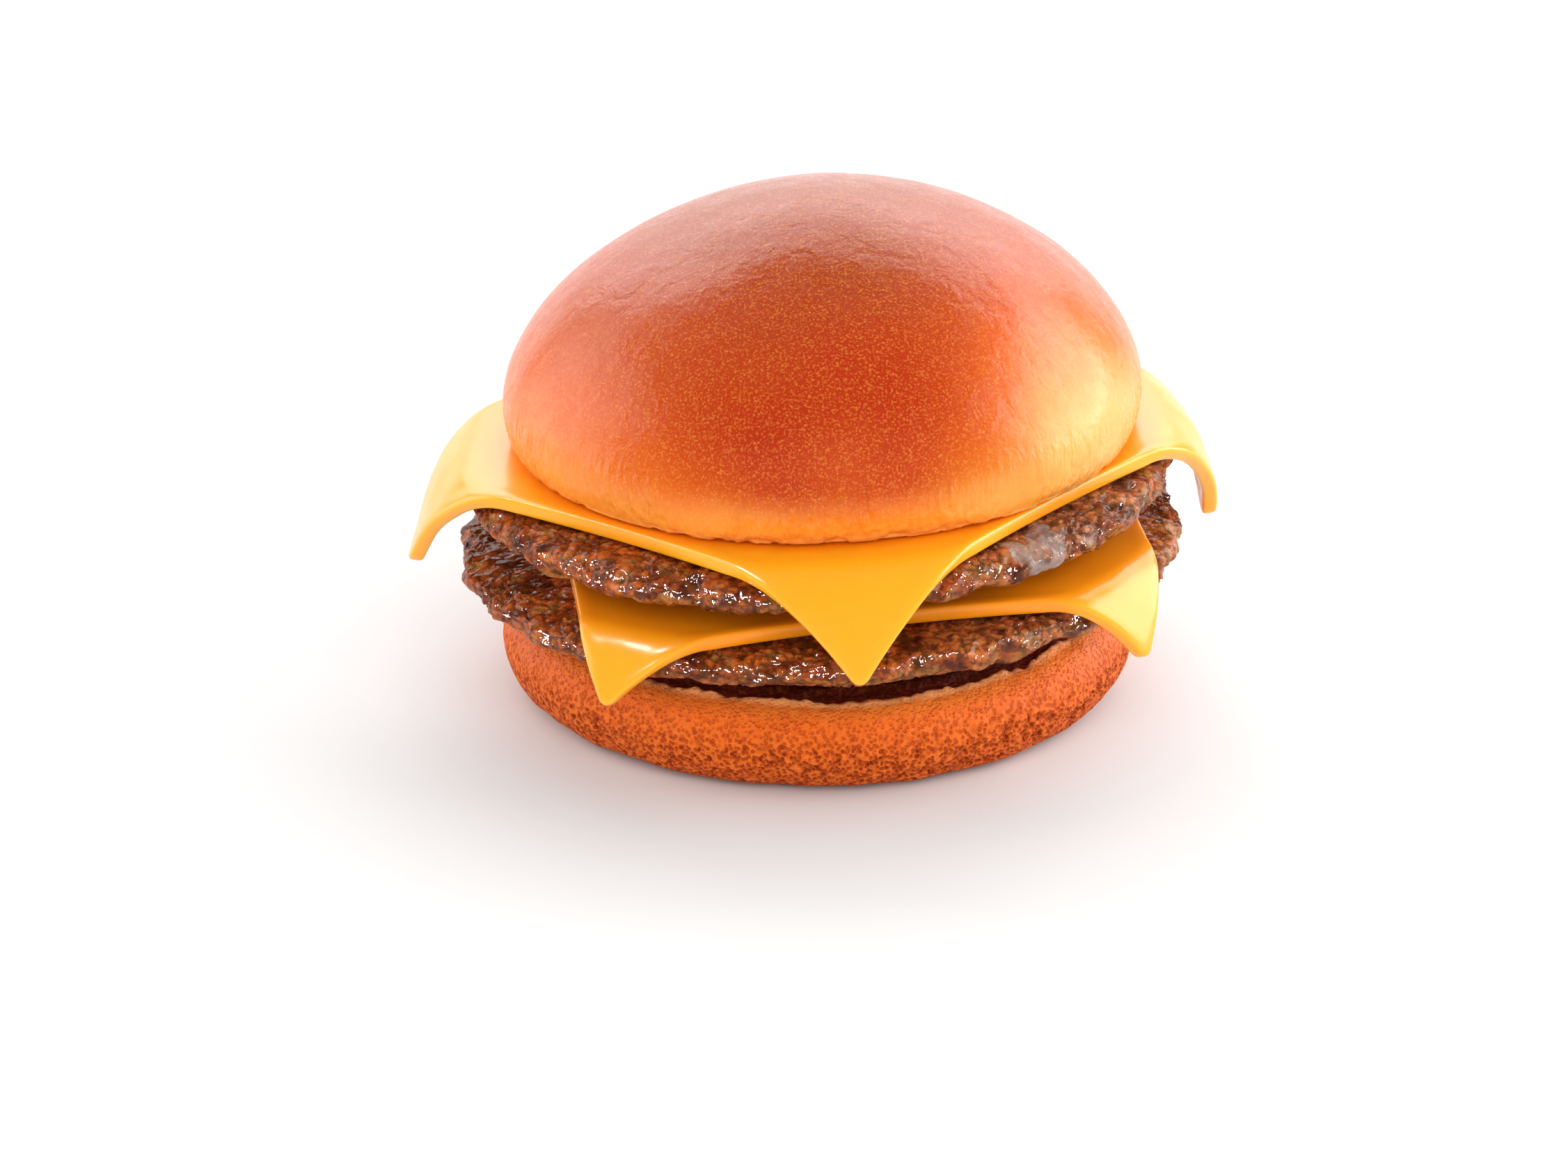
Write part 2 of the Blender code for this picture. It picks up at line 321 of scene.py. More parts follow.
def turned_flat(values):
    """A turned grid's values as a list with one entry for each of its two poles."""
    return np.concatenate([values[:1, 0], values[1:-1].reshape(-1, *values.shape[2:]), values[-1:, 0]])


def make_piece(name, points, faces, finish, marks=None):
    """A smooth mesh object at the origin, with point values for its material to read."""
    mesh = bpy.data.meshes.new(name)
    mesh.from_pydata(points, [], faces)
    for mark, values in (marks or {}).items():
        layer = mesh.attributes.new(mark, "FLOAT", "POINT")
        layer.data.foreach_set("value", np.asarray(values, dtype=np.float32).ravel())
    mesh.materials.append(finish)
    mesh.shade_smooth()
    mesh.validate()
    piece = bpy.data.objects.new(name, mesh)
    bpy.context.scene.collection.objects.link(piece)
    return piece


def turned_piece(name, points, finish, marks):
    """A turned grid with its marks as a mesh object."""
    rows, columns = points.shape[:2]
    flat = {mark: turned_flat(values) for mark, values in marks.items()}
    return make_piece(name, turned_flat(points), turned_faces(rows, columns), finish, flat)


# Materials


def opaque(tone):
    """A hex colour, or linear red, green and blue, as an opaque colour."""
    return (*(linear(tone) if isinstance(tone, str) else tone), 1.0)


def set_inputs(tree, node, values):
    """Sets each input of a node to a value, a hex colour, or the socket or first output of another node."""
    for key, value in values.items():
        if isinstance(value, bpy.types.Node):
            value = value.outputs[0]
        if isinstance(value, bpy.types.NodeSocket):
            tree.links.new(value, node.inputs[key])
        else:
            node.inputs[key].default_value = opaque(value) if isinstance(value, str) else value


def add(tree, kind, inputs=None, stops=None, **settings):
    """Adds a node with its settings, its inputs as values or sockets, and a ramp's colour stops."""
    made = tree.nodes.new("ShaderNode" + kind)
    for key, value in settings.items():
        setattr(made, key, value)
    set_inputs(tree, made, inputs or {})
    for i, (place, tone) in enumerate(stops or []):
        ramp = made.color_ramp.elements
        stop = ramp[i] if i < 2 else ramp.new(place)
        stop.position = place
        stop.color = opaque(tone)
    return made


def blank_material(name):
    """A new material, its node tree and its shader."""
    made = bpy.data.materials.new(name)
    made.use_nodes = True
    tree = made.node_tree
    return made, tree, tree.nodes["Principled BSDF"]


def glazed_crust(bun):
    """Egg-washed brioche crust, baked: a satin skin, deep brown on top and gold low down, finely speckled."""
    made, tree, shader = blank_material("glazed_brioche_crust")
    place = add(tree, "TexCoord").outputs["Object"]
    bake, ember, pleat = (
        add(tree, "Attribute", attribute_name=mark).outputs["Fac"]
        for mark in ("bake", "ember", "pleat")
    )
    clouds = add(tree, "TexNoise", {"Vector": place, "Scale": 1 / 0.022, "Detail": 3.0, "Roughness": 0.55})
    mottle = add(tree, "TexNoise", {"Vector": place, "Scale": 1 / 0.0035, "Detail": 4.0, "Roughness": 0.6})
    # This mark holds the crust's browning together with a painted highlight: paler crust on the lit sides
    baked = add(tree, "Math", {0: clouds, 1: 0.22, 2: bake}, operation="MULTIPLY_ADD")
    baked = add(tree, "Math", {0: mottle, 1: 0.10, 2: baked}, operation="MULTIPLY_ADD")
    tone = add(tree, "ValToRGB", {"Fac": baked}, stops=[
        (0.13, bun.pale), (1.0, "#9E3C14"), (0.26, "#F0902A"), (0.38, bun.golden), (0.50, "#DA5C16"),
        (0.64, "#C44C12"), (0.84, bun.deep_brown),
    ])
    tone = add(tree, "Mix", {0: ember, 6: tone, 7: (*bun.ruddy, 1.0)}, data_type="RGBA")
    # The real speckle is too fine for the render, so it is drawn as coarse as it needs to show
    dust = add(tree, "TexNoise", {"Vector": place, "Scale": 1 / 0.00036, "Detail": 1.0})
    dusty = add(tree, "MapRange", {"Value": dust, "From Min": 0.50, "From Max": 0.72, "To Max": 0.40})
    dots = add(tree, "TexVoronoi", {"Vector": place, "Scale": 1 / 0.0007})
    dot = add(
        tree, "MapRange", {"Value": dots, "From Min": 0.36, "From Max": 0.18}, interpolation_type="SMOOTHSTEP"
    )
    lots = add(tree, "SeparateColor", {"Color": dots.outputs["Color"]})
    chosen = add(
        tree, "MapRange", {"Value": lots.outputs["Red"], "From Min": 0.35, "From Max": 1.0, "To Max": 0.5}
    )
    speck = add(tree, "Math", {0: dot, 1: chosen}, operation="MULTIPLY")
    speck = add(tree, "Math", {0: speck, 1: dusty}, operation="MAXIMUM")
    skin = add(tree, "Mix", {0: speck, 6: tone.outputs[2], 7: "#F09A3C"}, data_type="RGBA")
    wrinkle = add(
        tree, "TexNoise",
        {"Vector": place, "Scale": 1 / 0.0032, "Detail": 3.0, "Roughness": 0.52, "Distortion": 0.7},
    )
    tall = add(tree, "VectorMath", {0: place, 1: (1.0, 1.0, 0.32)}, operation="MULTIPLY")
    fold = add(tree, "TexNoise", {"Vector": tall, "Scale": 1 / 0.0012, "Detail": 2.0})
    relief = add(tree, "Math", {0: fold, 1: pleat, 2: wrinkle}, operation="MULTIPLY_ADD")
    bump = add(tree, "Bump", {"Height": relief, "Strength": 0.36, "Distance": 0.0006})
    rough = add(
        tree, "MapRange", {"Value": mottle, "From Min": 0.3, "From Max": 0.7, "To Min": 0.22, "To Max": 0.33}
    )
    set_inputs(tree, shader, {
        "Base Color": skin.outputs[2],
        "Roughness": rough,
        "IOR": 1.38,
        "Subsurface Weight": 0.12,
        "Subsurface Radius": (1.0, 0.4, 0.15),
        "Subsurface Scale": 0.002,
        "Normal": bump,
    })
    return made


def porous_crust(bun):
    """The heel's tray-baked crust: matte, orange and full of small dark pores, round a toasted cut face."""
    made, tree, shader = blank_material("porous_tray_crust")
    place = add(tree, "TexCoord").outputs["Object"]
    rise, pore, shine = (
        add(tree, "Attribute", attribute_name=mark).outputs["Fac"]
        for mark in ("rise", "pore", "shine")
    )
    clouds = add(tree, "TexNoise", {"Vector": place, "Scale": 1 / 0.018, "Detail": 3.0})
    mottle = add(tree, "TexNoise", {"Vector": place, "Scale": 1 / 0.0018, "Detail": 4.0, "Roughness": 0.65})
    shifted = add(tree, "Math", {0: clouds, 1: 0.05, 2: rise}, operation="MULTIPLY_ADD")
    # The stops at 0.84 and 0.866 are the lighter crust of the shoulder and lip, made lighter still as painted
    # light: a painted highlight on the shoulder and painted light against the patty's shade over the lip
    zone = add(tree, "ValToRGB", {"Fac": shifted}, stops=[
        (0.06, "#B44410"), (1.0, "#300803"), (0.32, bun.flank), (0.58, "#D65A14"), (0.76, "#F06C1E"),
        (0.84, "#FF8A34"), (0.866, "#FFB070"), (0.884, "#8E2E14"), (0.925, "#561408"),
    ])
    ruddy = add(tree, "MapRange", {"Value": mottle, "From Min": 0.40, "From Max": 0.68, "To Max": 0.35})
    fine = add(tree, "Mix", {0: ruddy, 6: zone, 7: "#D08040"}, data_type="RGBA", blend_type="MULTIPLY")
    warp = add(
        tree, "VectorMath",
        {0: mottle.outputs["Color"], 1: (0.0002, 0.0002, 0.0002), 2: place},
        operation="MULTIPLY_ADD",
    )
    # The finest pores wouldn't show at their own size, so they are drawn coarser
    cells = add(tree, "TexVoronoi", {"Vector": warp, "Scale": 1 / 0.00066})
    pinhole = add(
        tree, "MapRange",
        {"Value": cells, "From Min": 0.50, "From Max": 0.22},
        interpolation_type="SMOOTHSTEP",
    )
    flank = add(
        tree, "MapRange", {"Value": rise, "From Min": 0.80, "From Max": 0.56, "To Min": 0.2, "To Max": 1.0}
    )
    pinhole = add(tree, "Math", {0: pinhole, 1: flank}, operation="MULTIPLY")
    ridge = add(tree, "MapRange", {"Value": cells, "From Min": 0.50, "From Max": 0.80, "To Max": 0.5})
    ridge = add(tree, "Math", {0: ridge, 1: flank}, operation="MULTIPLY")
    cut = add(tree, "MapRange", {"Value": rise, "From Min": 0.88, "From Max": 0.905})
    crumb = add(tree, "MapRange", {"Value": mottle, "From Min": 0.54, "From Max": 0.68, "To Max": 0.45})
    crumb = add(tree, "Math", {0: crumb, 1: cut}, operation="MULTIPLY")
    hole = add(tree, "Math", {0: pinhole, 1: 0.50, 2: pore}, operation="MULTIPLY_ADD", use_clamp=True)
    for part, tint in ((ridge, "#EE8634"), (crumb, "#6A200E"), (hole, "#96340E")):
        fine = add(tree, "Mix", {0: part, 6: fine.outputs[2], 7: tint}, data_type="RGBA")
    rough = add(tree, "MapRange", {"Value": shine, "To Min": 0.72, "To Max": 0.42})
    relief = add(tree, "Math", {0: pinhole, 1: -0.8, 2: mottle}, operation="MULTIPLY_ADD")
    bump = add(tree, "Bump", {"Height": relief, "Strength": 0.8, "Distance": 0.0008})
    set_inputs(tree, shader, {
        "Base Color": fine.outputs[2],
        "Roughness": rough,
        "IOR": 1.36,
        "Specular IOR Level": 0.35,
        "Subsurface Weight": 0.10,
        "Subsurface Radius": (1.0, 0.4, 0.15),
        "Subsurface Scale": 0.0015,
        "Normal": bump,
    })
    return made


def seared_beef(beef):
    """Flame-seared ground beef: brown granules with painted shade in the crevices between, wet with fat in
    patches.
    """
    made, tree, shader = blank_material("seared_ground_beef")
    place = add(tree, "TexCoord").outputs["Object"]
    crevice, rise, fat, lot, steam = (
        add(tree, "Attribute", attribute_name=mark).outputs["Fac"]
        for mark in ("crevice", "rise", "fat", "lot", "steam")
    )
    clouds = add(tree, "TexNoise", {"Vector": place, "Scale": 1 / 0.007, "Detail": 4.0, "Roughness": 0.6})
    mottle = add(tree, "TexNoise", {"Vector": place, "Scale": 1 / 0.0014, "Detail": 5.0, "Roughness": 0.65})
    high = add(tree, "Math", {0: clouds, 1: 1.1, 2: rise}, operation="MULTIPLY_ADD")
    seared = add(
        tree, "MapRange", {"Value": high, "From Min": 0.70, "From Max": 1.15}, interpolation_type="SMOOTHSTEP"
    )
    meat = add(tree, "Mix", {0: seared, 6: (*beef.stewed, 1.0), 7: (*beef.seared, 1.0)}, data_type="RGBA")
    fleck = add(tree, "ValToRGB", {"Fac": mottle}, stops=[
        (0.32, "#6E4834"), (0.70, "#FFF2D2"), (0.46, "#E8CCB0"), (0.58, "#FFF0D8"),
    ])
    # Painted sheen: a pale pinkish grey laid on the patties' right front side, where the right lamp's sheen
    # falls
    meat = add(tree, "Mix", {0: steam, 6: meat.outputs[2], 7: "#D8A490"}, data_type="RGBA")
    sorts = add(tree, "ValToRGB", {"Fac": lot}, stops=[
        (0.0, "#9A6440"), (1.0, "#FFF0A8"), (0.35, "#E8BC90"), (0.65, "#FFE8B8"),
    ])
    sorted_ = add(
        tree, "Mix", {0: 0.9, 6: meat.outputs[2], 7: sorts}, data_type="RGBA", blend_type="MULTIPLY"
    )
    toned = add(
        tree, "Mix", {0: 0.8, 6: sorted_.outputs[2], 7: fleck}, data_type="RGBA", blend_type="MULTIPLY"
    )
    warp = add(
        tree, "VectorMath",
        {0: mottle.outputs["Color"], 1: (0.0016, 0.0016, 0.0016), 2: place},
        operation="MULTIPLY_ADD",
    )
    grains = add(tree, "TexVoronoi", {"Vector": warp, "Scale": 1 / 0.0014})
    between = add(tree, "MapRange", {"Value": grains, "From Min": 0.42, "From Max": 0.78, "To Max": 0.75})
    scorch = add(tree, "TexNoise", {"Vector": place, "Scale": 1 / 0.0042, "Detail": 4.0, "Roughness": 0.6})
    char = add(tree, "MapRange", {"Value": scorch, "From Min": 0.53, "From Max": 0.40, "To Max": 0.82})
    tawny = add(tree, "MapRange", {"Value": scorch, "From Min": 0.54, "From Max": 0.62, "To Max": 0.7})
    # Painted glints: lighter orange-brown spots laid in the colour where this noise is high
    glint_noise = add(tree, "TexNoise", {"Vector": place, "Scale": 1 / 0.0035, "Detail": 3.0, "Distortion": 1.0})
    glint = add(tree, "MapRange", {"Value": glint_noise, "From Min": 0.60, "From Max": 0.72, "To Max": 0.6})
    # Painted shade: the crevices, crag floors and gaps between the drawn grains are darkened nearly to black,
    # together with the real scorched patches
    shade_and_char = add(tree, "Math", {0: crevice, 1: between}, operation="MAXIMUM")
    shade_and_char = add(tree, "Math", {0: shade_and_char, 1: char}, operation="MAXIMUM")
    for part, tint in ((glint, "#B4622C"), (tawny, "#C08440"), (shade_and_char, "#2A0E05"), (fat, "#A09690")):
        toned = add(tree, "Mix", {0: part, 6: toned.outputs[2], 7: tint}, data_type="RGBA")
    wet = add(tree, "TexNoise", {"Vector": place, "Scale": 1 / 0.011, "Detail": 2.0})
    rough = add(
        tree, "MapRange", {"Value": wet, "From Min": 0.38, "From Max": 0.60, "To Min": 0.55, "To Max": 0.75}
    )
    relief = add(tree, "Math", {0: grains, 1: -0.8, 2: mottle}, operation="MULTIPLY_ADD")
    bump = add(tree, "Bump", {"Height": relief, "Strength": 0.8, "Distance": 0.0007})
    pool = add(tree, "TexNoise", {"Vector": place, "Scale": 1 / 0.0024, "Detail": 1.0, "Roughness": 0.4})
    film = add(tree, "Bump", {"Height": pool, "Strength": 0.9, "Distance": 0.0018})
    set_inputs(tree, shader, {
        "Base Color": toned.outputs[2],
        "Roughness": rough,
        "IOR": 1.33,
        "Specular IOR Level": 0.02,
        "Coat Weight": 0.45,
        "Coat Roughness": 0.05,
        "Coat Normal": film,
        "Subsurface Weight": 0.08,
        "Subsurface Radius": (1.0, 0.3, 0.15),
        "Subsurface Scale": 0.001,
        "Normal": bump,
    })
    return made


def melting_cheese(cheese):
    """Processed cheddar warmed on the patty: smooth, waxy and translucent, with painted glow on thin edges
    and painted shade where covered.
    """
    made, tree, shader = blank_material("warm_processed_cheddar")
    place = add(tree, "TexCoord").outputs["Object"]
    rim, warmed = (
        add(tree, "Attribute", attribute_name=mark).outputs["Fac"] for mark in ("rim", "warmed")
    )
    clouds = add(tree, "TexNoise", {"Vector": place, "Scale": 1 / 0.020, "Detail": 2.0})
    cast = add(tree, "MapRange", {"Value": clouds, "From Min": 0.3, "From Max": 0.7, "To Max": 0.25})
    # Painted glow: thin edges, along with random clouds of tint, turn to the paler edge colour
    glow_and_cast = add(tree, "Math", {0: rim, 1: cast}, operation="MAXIMUM")
    tone = add(tree, "Mix", {0: glow_and_cast, 6: (*cheese.body, 1.0), 7: (*cheese.thin, 1.0)}, data_type="RGBA")
    # Painted shade: the covered part of a slice turns a deeper orange
    shade_share = add(tree, "Math", {0: warmed, 1: 0.8}, operation="MULTIPLY")
    tone = add(tree, "Mix", {0: shade_share, 6: tone.outputs[2], 7: "#FF9010"}, data_type="RGBA")
    dimple = add(tree, "TexNoise", {"Vector": place, "Scale": 1 / 0.006, "Detail": 2.0})
    bump = add(tree, "Bump", {"Height": dimple, "Strength": 0.10, "Distance": 0.0006})
    set_inputs(tree, shader, {
        "Base Color": tone.outputs[2],
        "Roughness": 0.22,
        "IOR": 1.5,
        "Subsurface Weight": 0.5,
        "Subsurface Radius": (1.0, 0.8, 0.3),
        "Subsurface Scale": 0.0018,
        "Normal": bump,
    })
    return made


# Bun


def layer_bases(stack):
    """The height of each layer's underside on the stack's axis, worked out upwards from the floor."""
    lower_patty = stack.heel_height + stack.gap
    lower_slice = lower_patty + stack.lower_patty + stack.gap
    upper_patty = lower_slice + stack.slice_thick + stack.gap
    upper_slice = upper_patty + stack.upper_patty + stack.gap
    return {
        "heel": 0.0,
        "lower_patty": lower_patty,
        "lower_slice": lower_slice,
        "upper_patty": upper_patty,
        "upper_slice": upper_slice,
        "crown": upper_slice + stack.slice_thick + stack.gap,
    }


def crown_surface(bun, stack):
    """The dome: a superelliptic quarter turned round Z, then a short undercut skirt and the level cut face.

    Broad lumps, short upright creases over the rim and a ragged cut edge are laid on along the normals.
    """
    base = layer_bases(stack)["crown"]
    top = base + stack.crown_height
    widest = base + bun.crown_widest
    profile = ruled(
        [
            quarter((0.0, top), (bun.crown_radius, widest), 1.73),
            quarter((bun.crown_radius, widest), (bun.crown_cut, base), leaves="upright"),
            [(bun.crown_cut, base), (bun.crown_cut - 4 * MM, base)],
            [(bun.crown_cut - 4 * MM, base), (0.0, base)],
        ],
        (0.62 * MM, 0.30 * MM, 0.6 * MM, 4 * MM),
    )
    points, angle = revolved(profile, CROWN_COLUMNS)
    height = points[..., 2] - base
    points[..., :2] *= (1 + wobble(angle, 0.008, 11))[..., None]
    normals = turned_normals(points)
    lumps = 0.35 * MM * Grain(5)(points, 24 * MM) + 0.10 * MM * Grain(6)(points, 8 * MM)
    upright = points * [1, 1, 0.16]
    crease = 1 - np.abs(Grain(7)(upright, 1.9 * MM)) * 3.2
    crease = np.clip(crease, 0, 1) ** 2
    band = smooth_step(height / (2.5 * MM)) * smooth_step((13 * MM - height) / (8 * MM))
    where = smooth_step(0.5 + 1.6 * Grain(8)(points * [1, 1, 0.5], 14 * MM) + 0.45 * np.cos(angle + 0.9))
    edge = smooth_step((1.8 * MM - height) / (1.8 * MM)) * (profile[:, 0] > bun.crown_cut - MM)[:, None]
    nicks = Grain(9)(points, 3.1 * MM) + 0.5 * Grain(10)(points, 1.3 * MM)
    moved = lumps - 0.30 * MM * crease * band * where - 0.90 * MM * np.clip(nicks + 0.15, 0, 1) * edge
    moved = moved * smooth_step(height / (0.3 * MM))
    points = points + normals * moved[..., None]
    points[..., 2] += 0.18 * MM * smooth_step((nicks - 0.02) / 0.16) * edge
    points[..., 0] += bun.crown_shift
    rise = height / stack.crown_height
    sides = smooth_step(rise / 0.25) * smooth_step((1.0 - rise) / 0.45)
    toward = facing(angle, -1.60, 0.62)
    # Uneven browning plus painted highlight: the front is baked a little deeper, while the right front and
    # the front left, where the right lamps' sheen and the left lamp's haze fall, are painted paler
    browning_and_lit_sides = 0.04 * facing(angle, -1.55, 0.6) - 0.28 * facing(angle, -0.65, 0.6)
    browning_and_lit_sides = browning_and_lit_sides - 0.10 * facing(angle, -2.6, 0.6)
    # The mark holds the height, that unevenness, a paler right side as painted highlight, and a paler cut
    # edge
    bake = 0.86 * rise + 0.05 + browning_and_lit_sides * sides - 0.05 * facing(angle, 0.0, 0.8) - 0.22 * edge
    patchy = 0.75 + 0.5 * Grain(12)(points, 18 * MM)
    ember = np.clip(toward + 0.6 * facing(angle, 1.9, 0.8), 0, 1) * patchy
    ember = np.clip(1.15 * ember * smooth_step((rise - 0.08) / 0.18) * smooth_step((1.0 - rise) / 0.35), 0, 1)
    pleat = 4.5 * band * (0.25 + 0.75 * where)
    return leaned(points, stack.lean), bake, ember, pleat


def heel_surface(bun, stack):
    """The foot: the cut face, a thin curled lip, a round shoulder and a flank that tapers to the flat base.

    Pores are pits of three sizes at the middles of random cells in the flank, and the lip rises and falls.
    """
    rim = bun.heel_rim
    height = bun.heel_rim_height
    lip_inner = rim - 1.1 * MM
    cut = rim - 3.1 * MM
    shelf = rim - 4 * MM
    level = 36 * MM
    stretches = [
        [(0.0, stack.heel_height), (level, stack.heel_height)],
        [(level, stack.heel_height), (shelf, height + 1.0 * MM)],
        [(shelf, height + 1.0 * MM), (cut, height + 0.1 * MM)],
        [(cut, height + 0.1 * MM), (lip_inner, height - 0.1 * MM)],
        [(lip_inner, height - 0.1 * MM), (rim, height)],
        quarter((rim, height), (bun.heel_radius, bun.heel_widest)),
        quarter((bun.heel_radius, bun.heel_widest), (bun.heel_base, 0.0), leaves="upright"),
        [(bun.heel_base, 0.0), (0.0, 0.0)],
    ]
    spacings = (12 * MM, 0.8 * MM, 0.25 * MM, 0.35 * MM, 0.22 * MM, 0.26 * MM, 0.27 * MM, 12 * MM)
    profile = ruled(stretches, spacings)
    counts = [len(ruled([s], [g])) - 1 for s, g in zip(stretches, spacings)]
    ends = np.concatenate([[0], np.cumsum(counts)])
    # The rise tells the colours where they are: 1 at the cut face's middle, 0.84 at the lip, 0 at the base
    stages = (1.0, 0.96, 0.93, 0.905, 0.87, 0.84, 0.62, 0.02, 0.0)
    rise = np.interp(np.arange(len(profile)), ends, stages)
    points, angle = revolved(profile, HEEL_COLUMNS)
    rise = np.broadcast_to(rise[:, None], angle.shape)
    points[..., :2] *= (1 + wobble(angle, 0.010, 23))[..., None]
    normals = turned_normals(points)
    level_height = points[..., 2]
    flank = smooth_step((0.74 - rise) / 0.16) * smooth_step(rise / 0.06)
    warp = points + 0.5 * MM * Grain(21)(points, 2.2 * MM)[..., None]
    near, _, lot = Granules(22)(warp, 1.15 * MM)
    pit = smooth_step((0.46 - near) / 0.16) * smooth_step((lot - 0.10) / 0.3)
    near_fine, _, lot_fine = Granules(24)(warp, 1.0 * MM)
    pit_fine = smooth_step((0.40 - near_fine) / 0.30) * smooth_step((lot_fine - 0.4) / 0.4)
    near_wide, _, lot_wide = Granules(36)(warp * [1, 1, 0.75], 1.9 * MM)
    torn_open = facing(angle, -0.80, 0.80)
    pit_wide = smooth_step((0.46 - near_wide) / 0.15) * smooth_step((lot_wide - 0.15) / 0.3) * torn_open
    open_ = 0.55 + 0.45 * smooth_step(0.5 + 1.4 * Grain(25)(points, 16 * MM))
    pores = np.clip(pit * open_ + 0.5 * pit_fine + 0.9 * pit_wide, 0, 1) * flank
    lumps = 0.25 * MM * Grain(26)(points, 12 * MM) + 0.12 * MM * Grain(27)(points, 3 * MM)
    lumps = lumps + 0.5 * MM * Grain(31)(points, 8 * MM) * smooth_step((0.5 - rise) / 0.3)
    lip = 0.7 + 1.1 * Grain(28)(points, 6 * MM) + 0.7 * Grain(35)(points, 1.7 * MM)
    curl = np.exp(-((rise - 0.852) / 0.018) ** 2) * lip
    crumb = Grain(29)(points, 1.6 * MM) + Grain(30)(points, 0.8 * MM)
    crumb = smooth_step((rise - 0.86) / 0.03) * 0.16 * MM * crumb
    moved = lumps * smooth_step(level_height / (2 * MM)) - (0.38 + 0.30 * torn_open) * MM * pores
    moved = moved + 0.75 * MM * curl + crumb
    points = points + normals * moved[..., None]
    torn = 0.9 * Grain(33)(points, 6 * MM) + 0.5 * Grain(34)(points, 2 * MM)
    torn = np.exp(-((rise - 0.918) / 0.03) ** 2) * torn
    points[..., :2] *= (1 + 1.6 * MM * torn / (42 * MM))[..., None]
    points[..., 2] = np.maximum(points[..., 2], 0.0)
    shine = smooth_step((rise - 0.60) / 0.18) * smooth_step((0.88 - rise) / 0.03)
    return leaned(points, stack.lean), rise, pores, shine


# Beef


def patty_outline(angle, radius, seed):
    """The patty's radius in each direction."""
    return radius + wobble(angle, 1.0 * MM, seed, (2, 3, 4, 7))


def patty_surface(radius, base, thick, lift, seed, beef, stack):
    """A disc with a round rim that lifts off what it lies on: a turned profile, cut by crags and granules.

    Crags are broad hollows of gradient noise, granules are warped cells with crevices where two meet.
    """
    top = base + thick
    middle = base + lift + 0.45 * (thick - lift)
    rim_inner = radius - 5 * MM
    foot = radius - 18 * MM
    between = ((rim_inner + foot) / 2, base + 0.4 * lift)
    profile = ruled(
        [
            [(0.0, top), (radius - 20 * MM, top)],
            [(radius - 20 * MM, top), (radius - beef.edge, top)],
            quarter((radius - beef.edge, top), (radius, middle), 2.3),
            quarter((radius, middle), (rim_inner, base + lift), leaves="upright"),
            [(rim_inner, base + lift), between, (foot, base)],
            [(foot, base), (0.0, base)],
        ],
        (5 * MM, 0.55 * MM, 0.22 * MM, 0.24 * MM, 0.5 * MM, 5 * MM),
    )
    points, angle = revolved(profile, PATTY_COLUMNS)
    spread = np.hypot(points[..., 0], points[..., 1])
    points[..., :2] *= (patty_outline(angle, radius, seed) / radius)[..., None]
    normals = turned_normals(points)
    grain = Grain(seed)
    depth = beef.crag_depth * np.clip(
        0.5 - grain(points, beef.crag_size) - 0.4 * grain(points + 1.0, beef.crag_size / 2), 0, 1
    )
    rim = smooth_step((spread / radius - 0.8) / 0.12)
    inward = -points * [1, 1, 0] / np.maximum(spread, MM)[..., None]
    height = (points[..., 2] - middle) / (0.3 * thick)
    rise = np.clip((points[..., 2] - base - lift) / (thick - lift), 0, 1)
    warp = points + np.stack(
        [0.8 * MM * Grain(seed + n)(points, 2.4 * MM) for n in (1, 2, 3)], axis=-1
    )
    near, second, lot = Granules(seed + 4)(warp, beef.crumble)
    seam = 1 - smooth_step((second - near) / 0.30)
    near_fine, second_fine, _ = Granules(seed + 5)(warp, beef.crumble * 0.45)
    seam_fine = 1 - smooth_step((second_fine - near_fine) / 0.35)
    rough = 0.35 + 0.65 * smooth_step(0.5 + 1.5 * Grain(seed + 6)(points, 9 * MM))
    hole = smooth_step((lot - 0.84) / 0.08) * smooth_step((0.55 - near) / 0.3)
    crumbly = rough * (0.42 * seam + 0.08 * seam_fine) + 0.80 * hole
    grit = 0.04 * Grain(seed + 7)(points, 0.9 * MM)
    seen = smooth_step((spread - radius + 24 * MM) / (6 * MM))
    ragged = 0.9 * MM * Grain(seed + 8)(points, 7 * MM) * smooth_step((0.55 - rise) / 0.4) * rim
    points = points + inward * (depth * rim)[..., None]
    points[..., 2] -= np.sign(height) * 0.25 * depth * rim * smooth_step(np.abs(height))
    points = points - normals * ((crumbly - grit) * MM * seen)[..., None]
    points[..., 2] += ragged
    # Painted shade: the crevice mark darkens the seams, holes and crag floors in the colour
    crevice = np.clip(0.9 * rough * seam + 0.35 * seam_fine * rough + hole, 0, 1) * 0.75
    crevice = np.clip(crevice + 0.25 * smooth_step(depth / beef.crag_depth - 0.5), 0, 1)
    # Painted sheen on the right front side of each patty
    steam = 0.9 * facing(angle, -0.50, 0.60) * smooth_step(0.8 + Grain(seed + 10)(points, 8 * MM))
    return leaned(points, stack.lean), crevice, rise, lot, steam


def fat_patch(points, middle, size, seed):
    """A pale patch round a place on the rim, with an edge broken up by noise."""
    away = np.linalg.norm((points - middle) / size, axis=-1)
    return smooth_step((1.0 + 0.9 * Grain(seed)(points, 4 * MM) - away) / 0.35)


# Cheese

